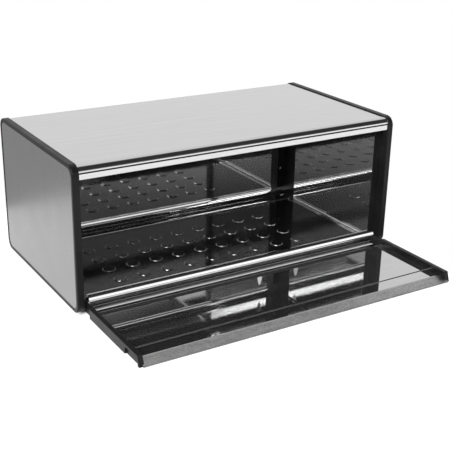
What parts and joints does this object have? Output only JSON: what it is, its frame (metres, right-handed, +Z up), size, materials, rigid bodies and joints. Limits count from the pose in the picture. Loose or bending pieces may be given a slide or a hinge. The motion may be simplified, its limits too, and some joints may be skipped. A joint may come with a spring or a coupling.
{
  "type": "bread bin",
  "caption": "Long low bread bin with rounded steel top and back, black plastic side frames and a lid that folds down in front to lie flat before the open mouth.",
  "frame": {"origin": "centre of the cabinet's footprint, on the surface the feet stand on", "axes": "+X along the width to the right seen from the front, +Y to the back, +Z up"},
  "size_m": [0.465, 0.3875, 0.1852],
  "materials": {
    "brushed_steel": "fine brushed, satin",
    "polished_steel": "polished, mirror-like",
    "black_plastic": "fine matt",
    "bush_nylon": "smooth",
    "foot_rubber": "matt",
    "pin_steel": "turned"
  },
  "bodies": {
    "cabinet": {"wrap_sheet": "brushed_steel", "base_sheet": "polished_steel", "side_frame_left": "black_plastic", "side_panel_left": "brushed_steel", "side_liner_left": "polished_steel", "hinge_bush_left": "bush_nylon", "rear_rivets_left": "pin_steel", "foot_front_left": "foot_rubber", "foot_rear_left": "foot_rubber", "side_frame_right": "black_plastic", "side_panel_right": "brushed_steel", "side_liner_right": "polished_steel", "hinge_bush_right": "bush_nylon", "rear_rivets_right": "pin_steel", "foot_front_right": "foot_rubber", "foot_rear_right": "foot_rubber"},
    "lid": {"lid_skin": "brushed_steel", "lid_panel": "polished_steel", "lid_cap_left": "black_plastic", "hinge_pin_left": "pin_steel", "lid_cap_right": "black_plastic", "hinge_pin_right": "pin_steel"}
  },
  "joints": [
    {"name": "lid_hinge", "type": "hinge", "parent": "cabinet", "child": "lid", "pos_m": [0, -0.112, 0.0102], "axis": [-1, 0, 0], "range_deg": [0, 90]}
  ]
}
